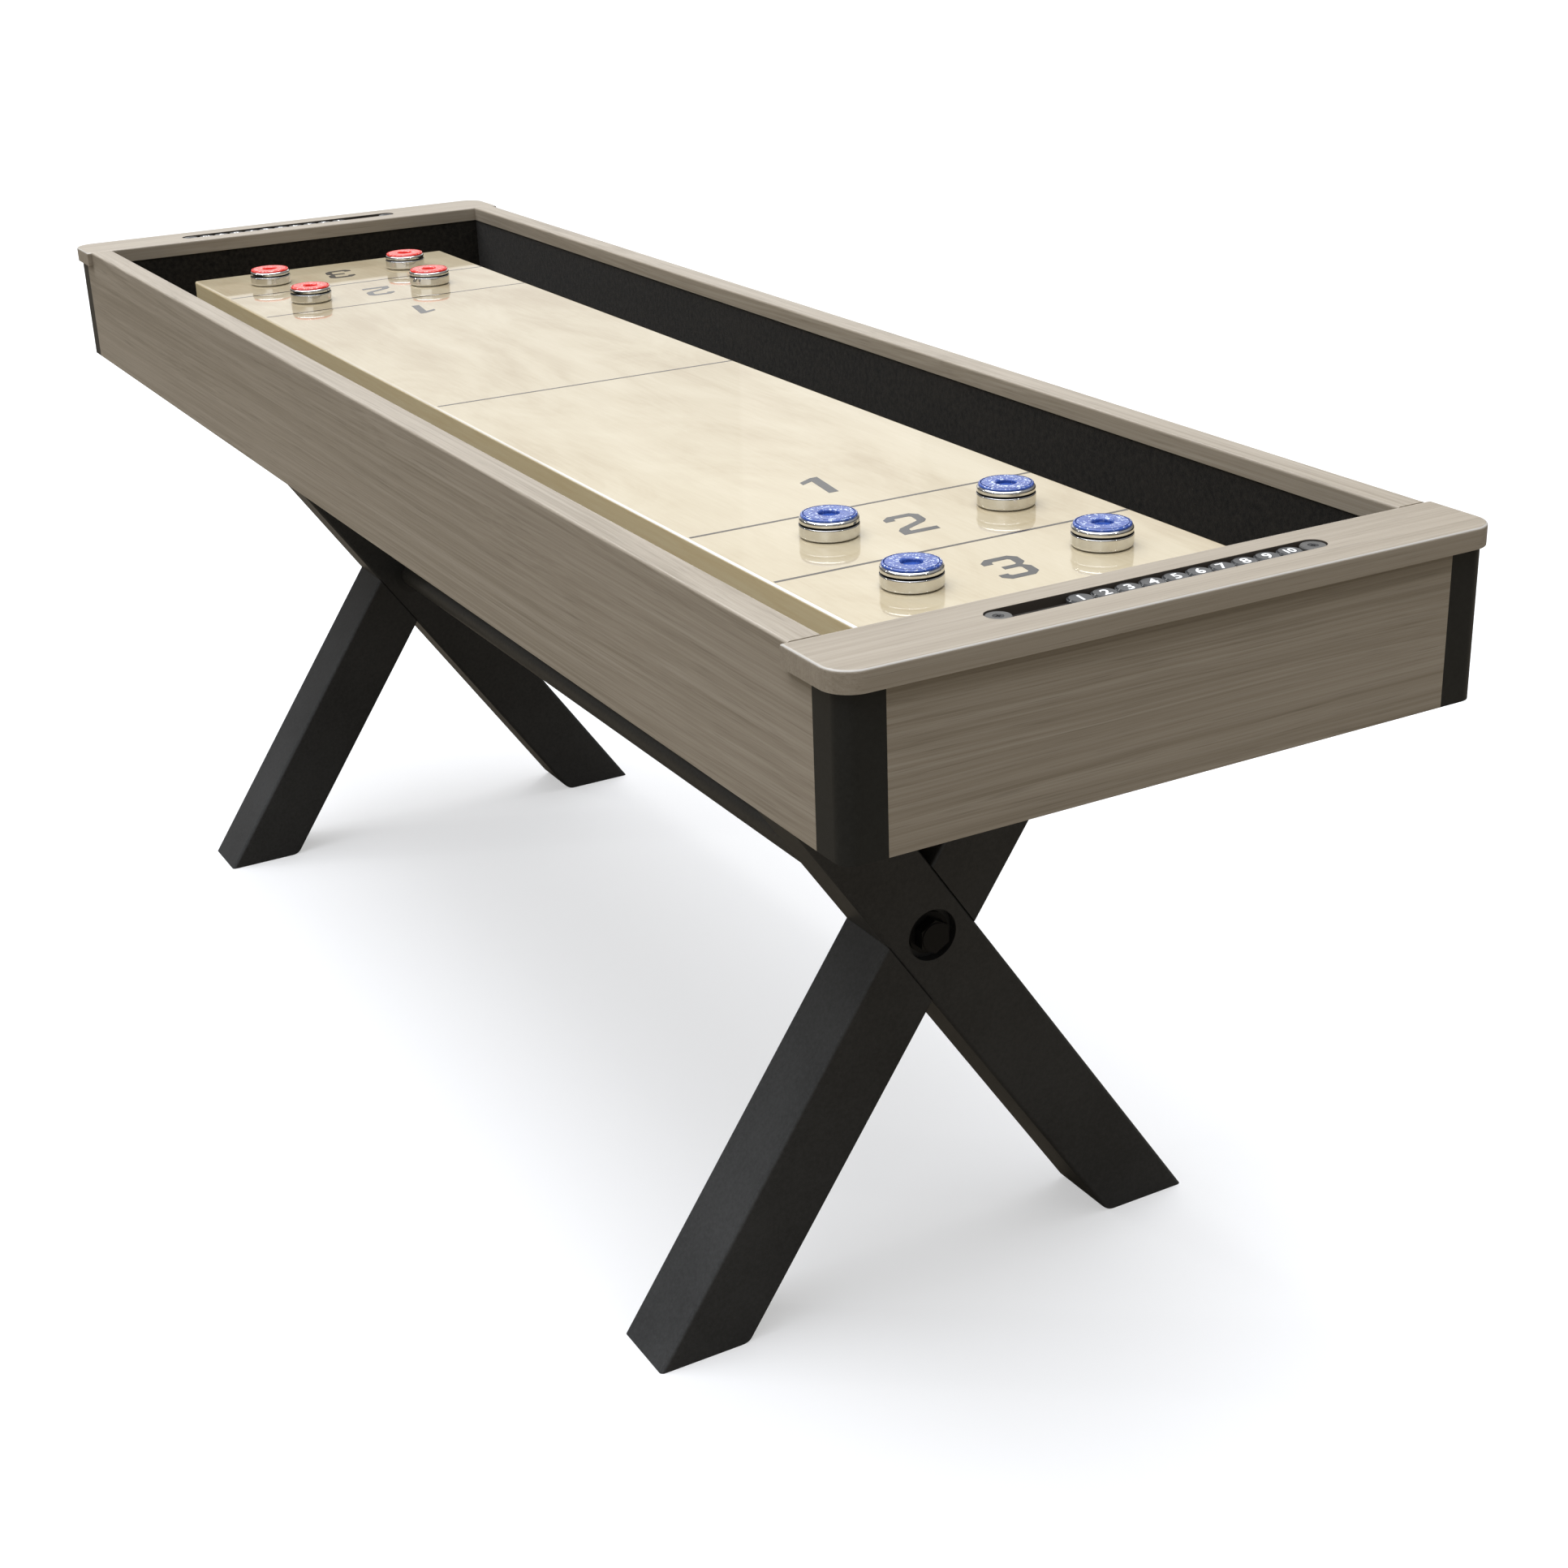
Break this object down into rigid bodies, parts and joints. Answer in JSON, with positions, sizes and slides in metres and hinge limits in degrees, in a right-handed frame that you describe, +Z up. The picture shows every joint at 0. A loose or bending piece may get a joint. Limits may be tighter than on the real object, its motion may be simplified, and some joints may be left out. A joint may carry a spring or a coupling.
{
  "type": "shuffleboard table",
  "caption": "Shuffleboard table: raised maple playfield in a laminate cabinet with carpeted gutters, sliding end scorers, metal pucks and crossed black beam legs.",
  "frame": {"origin": "on the floor, under the middle of the table", "axes": "+X along the table towards its near end, +Y across it, +Z up"},
  "size_m": [2.134, 0.6201, 0.808],
  "materials": {
    "playfield_maple": "light maple under a clear, glossy resin coat",
    "raw_wood": "unfinished softwood",
    "gutter_carpet": "short black felt carpet bonded to the boards",
    "cabinet_laminate": "grey-brown oak-grain laminate, satin",
    "rail_laminate": "pale grey oak-grain laminate, satin",
    "post_black": "matte black moulding",
    "leg_black": "satin black lacquer over wood",
    "tube_black": "satin black powder coat",
    "bolt_black": "black oxide, semi-gloss",
    "scorer_black": "black moulded channel",
    "retainer_grey": "light grey moulded plastic, with a steel screw",
    "slider_grey": "dark grey gloss plastic with a white number",
    "puck_steel": "polished chromed steel",
    "cap_blue": "blue streaked plastic with fine flake, gloss",
    "cap_red": "red streaked plastic with fine flake, gloss"
  },
  "bodies": {
    "table": {"playfield_board": "playfield_maple", "support_battens": "raw_wood", "bottom_board": "gutter_carpet", "side_panel_left": "cabinet_laminate", "side_panel_right": "cabinet_laminate", "end_panel_near": "cabinet_laminate", "end_panel_far": "cabinet_laminate", "corner_post_near_left": "post_black", "corner_post_near_right": "post_black", "corner_post_far_left": "post_black", "corner_post_far_right": "post_black", "end_cap_near": "rail_laminate", "end_cap_far": "rail_laminate", "side_liners": "gutter_carpet", "end_liners": "gutter_carpet", "leg_cleats": "raw_wood", "leg_near_a": "leg_black", "leg_near_b": "leg_black", "leg_far_a": "leg_black", "leg_far_b": "leg_black", "stretcher_tube": "tube_black", "leg_bolts": "bolt_black", "scorer_tracks": "scorer_black", "scorer_retainers": "retainer_grey"},
    "slider_near_01": {"slider_near_01": "slider_grey"},
    "slider_near_02": {"slider_near_02": "slider_grey"},
    "slider_near_03": {"slider_near_03": "slider_grey"},
    "slider_near_04": {"slider_near_04": "slider_grey"},
    "slider_near_05": {"slider_near_05": "slider_grey"},
    "slider_near_06": {"slider_near_06": "slider_grey"},
    "slider_near_07": {"slider_near_07": "slider_grey"},
    "slider_near_08": {"slider_near_08": "slider_grey"},
    "slider_near_09": {"slider_near_09": "slider_grey"},
    "slider_near_10": {"slider_near_10": "slider_grey"},
    "slider_far_01": {"slider_far_01": "slider_grey"},
    "slider_far_02": {"slider_far_02": "slider_grey"},
    "slider_far_03": {"slider_far_03": "slider_grey"},
    "slider_far_04": {"slider_far_04": "slider_grey"},
    "slider_far_05": {"slider_far_05": "slider_grey"},
    "slider_far_06": {"slider_far_06": "slider_grey"},
    "slider_far_07": {"slider_far_07": "slider_grey"},
    "slider_far_08": {"slider_far_08": "slider_grey"},
    "slider_far_09": {"slider_far_09": "slider_grey"},
    "slider_far_10": {"slider_far_10": "slider_grey"},
    "puck_blue_1": {"puck_weight_blue_1": "puck_steel", "puck_cap_blue_1": "cap_blue"},
    "puck_blue_2": {"puck_weight_blue_2": "puck_steel", "puck_cap_blue_2": "cap_blue"},
    "puck_blue_3": {"puck_weight_blue_3": "puck_steel", "puck_cap_blue_3": "cap_blue"},
    "puck_blue_4": {"puck_weight_blue_4": "puck_steel", "puck_cap_blue_4": "cap_blue"},
    "puck_red_1": {"puck_weight_red_1": "puck_steel", "puck_cap_red_1": "cap_red"},
    "puck_red_2": {"puck_weight_red_2": "puck_steel", "puck_cap_red_2": "cap_red"},
    "puck_red_3": {"puck_weight_red_3": "puck_steel", "puck_cap_red_3": "cap_red"},
    "puck_red_4": {"puck_weight_red_4": "puck_steel", "puck_cap_red_4": "cap_red"}
  },
  "joints": [
    {"name": "scorer_near_row", "type": "slide", "parent": "table", "child": "slider_near_10", "axis": [0, -1, 0], "range_m": [0, 0.025]},
    {"name": "scorer_near_row_02", "type": "slide", "parent": "table", "child": "slider_near_02", "axis": [0, -1, 0], "range_m": [0, 0.025]},
    {"name": "scorer_near_row_03", "type": "slide", "parent": "table", "child": "slider_near_03", "axis": [0, -1, 0], "range_m": [0, 0.025]},
    {"name": "scorer_near_row_04", "type": "slide", "parent": "table", "child": "slider_near_04", "axis": [0, -1, 0], "range_m": [0, 0.025]},
    {"name": "scorer_near_row_05", "type": "slide", "parent": "table", "child": "slider_near_05", "axis": [0, -1, 0], "range_m": [0, 0.025]},
    {"name": "scorer_near_row_06", "type": "slide", "parent": "table", "child": "slider_near_06", "axis": [0, -1, 0], "range_m": [0, 0.025]},
    {"name": "scorer_near_row_07", "type": "slide", "parent": "table", "child": "slider_near_07", "axis": [0, -1, 0], "range_m": [0, 0.025]},
    {"name": "scorer_near_row_08", "type": "slide", "parent": "table", "child": "slider_near_08", "axis": [0, -1, 0], "range_m": [0, 0.025]},
    {"name": "scorer_near_row_09", "type": "slide", "parent": "table", "child": "slider_near_09", "axis": [0, -1, 0], "range_m": [0, 0.025]},
    {"name": "scorer_near_first", "type": "slide", "parent": "slider_near_02", "child": "slider_near_01", "axis": [0, -1, 0], "range_m": [0, 0.025]},
    {"name": "scorer_far_row", "type": "slide", "parent": "table", "child": "slider_far_10", "axis": [0, 1, 0], "range_m": [0, 0.025]},
    {"name": "scorer_far_row_02", "type": "slide", "parent": "table", "child": "slider_far_02", "axis": [0, 1, 0], "range_m": [0, 0.025]},
    {"name": "scorer_far_row_03", "type": "slide", "parent": "table", "child": "slider_far_03", "axis": [0, 1, 0], "range_m": [0, 0.025]},
    {"name": "scorer_far_row_04", "type": "slide", "parent": "table", "child": "slider_far_04", "axis": [0, 1, 0], "range_m": [0, 0.025]},
    {"name": "scorer_far_row_05", "type": "slide", "parent": "table", "child": "slider_far_05", "axis": [0, 1, 0], "range_m": [0, 0.025]},
    {"name": "scorer_far_row_06", "type": "slide", "parent": "table", "child": "slider_far_06", "axis": [0, 1, 0], "range_m": [0, 0.025]},
    {"name": "scorer_far_row_07", "type": "slide", "parent": "table", "child": "slider_far_07", "axis": [0, 1, 0], "range_m": [0, 0.025]},
    {"name": "scorer_far_row_08", "type": "slide", "parent": "table", "child": "slider_far_08", "axis": [0, 1, 0], "range_m": [0, 0.025]},
    {"name": "scorer_far_row_09", "type": "slide", "parent": "table", "child": "slider_far_09", "axis": [0, 1, 0], "range_m": [0, 0.025]},
    {"name": "scorer_far_first", "type": "slide", "parent": "slider_far_02", "child": "slider_far_01", "axis": [0, 1, 0], "range_m": [0, 0.025]},
    {"name": "puck_blue_1_slide", "type": "slide", "parent": "table", "child": "puck_blue_1", "axis": [1, 0, 0], "range_m": [-0.628, 0]},
    {"name": "puck_blue_2_slide", "type": "slide", "parent": "table", "child": "puck_blue_2", "axis": [1, 0, 0], "range_m": [-0.104, 0.06]},
    {"name": "puck_blue_3_slide", "type": "slide", "parent": "table", "child": "puck_blue_3", "axis": [1, 0, 0], "range_m": [-0.638, 0]},
    {"name": "puck_blue_4_slide", "type": "slide", "parent": "table", "child": "puck_blue_4", "axis": [1, 0, 0], "range_m": [-0.094, 0.06]},
    {"name": "puck_red_1_slide", "type": "slide", "parent": "table", "child": "puck_red_1", "axis": [-1, 0, 0], "range_m": [-0.101, 0.057]},
    {"name": "puck_red_2_slide", "type": "slide", "parent": "table", "child": "puck_red_2", "axis": [-1, 0, 0], "range_m": [-0.634, 0]},
    {"name": "puck_red_3_slide", "type": "slide", "parent": "table", "child": "puck_red_3", "axis": [-1, 0, 0], "range_m": [-0.084, 0.063]},
    {"name": "puck_red_4_slide", "type": "slide", "parent": "table", "child": "puck_red_4", "axis": [-1, 0, 0], "range_m": [-0.645, 0]}
  ],
  "couplings": [
    {"joint": "scorer_near_row_02", "follows": "scorer_near_row", "ratio": 1},
    {"joint": "scorer_near_row_03", "follows": "scorer_near_row", "ratio": 1},
    {"joint": "scorer_near_row_04", "follows": "scorer_near_row", "ratio": 1},
    {"joint": "scorer_near_row_05", "follows": "scorer_near_row", "ratio": 1},
    {"joint": "scorer_near_row_06", "follows": "scorer_near_row", "ratio": 1},
    {"joint": "scorer_near_row_07", "follows": "scorer_near_row", "ratio": 1},
    {"joint": "scorer_near_row_08", "follows": "scorer_near_row", "ratio": 1},
    {"joint": "scorer_near_row_09", "follows": "scorer_near_row", "ratio": 1},
    {"joint": "scorer_far_row_02", "follows": "scorer_far_row", "ratio": 1},
    {"joint": "scorer_far_row_03", "follows": "scorer_far_row", "ratio": 1},
    {"joint": "scorer_far_row_04", "follows": "scorer_far_row", "ratio": 1},
    {"joint": "scorer_far_row_05", "follows": "scorer_far_row", "ratio": 1},
    {"joint": "scorer_far_row_06", "follows": "scorer_far_row", "ratio": 1},
    {"joint": "scorer_far_row_07", "follows": "scorer_far_row", "ratio": 1},
    {"joint": "scorer_far_row_08", "follows": "scorer_far_row", "ratio": 1},
    {"joint": "scorer_far_row_09", "follows": "scorer_far_row", "ratio": 1}
  ]
}
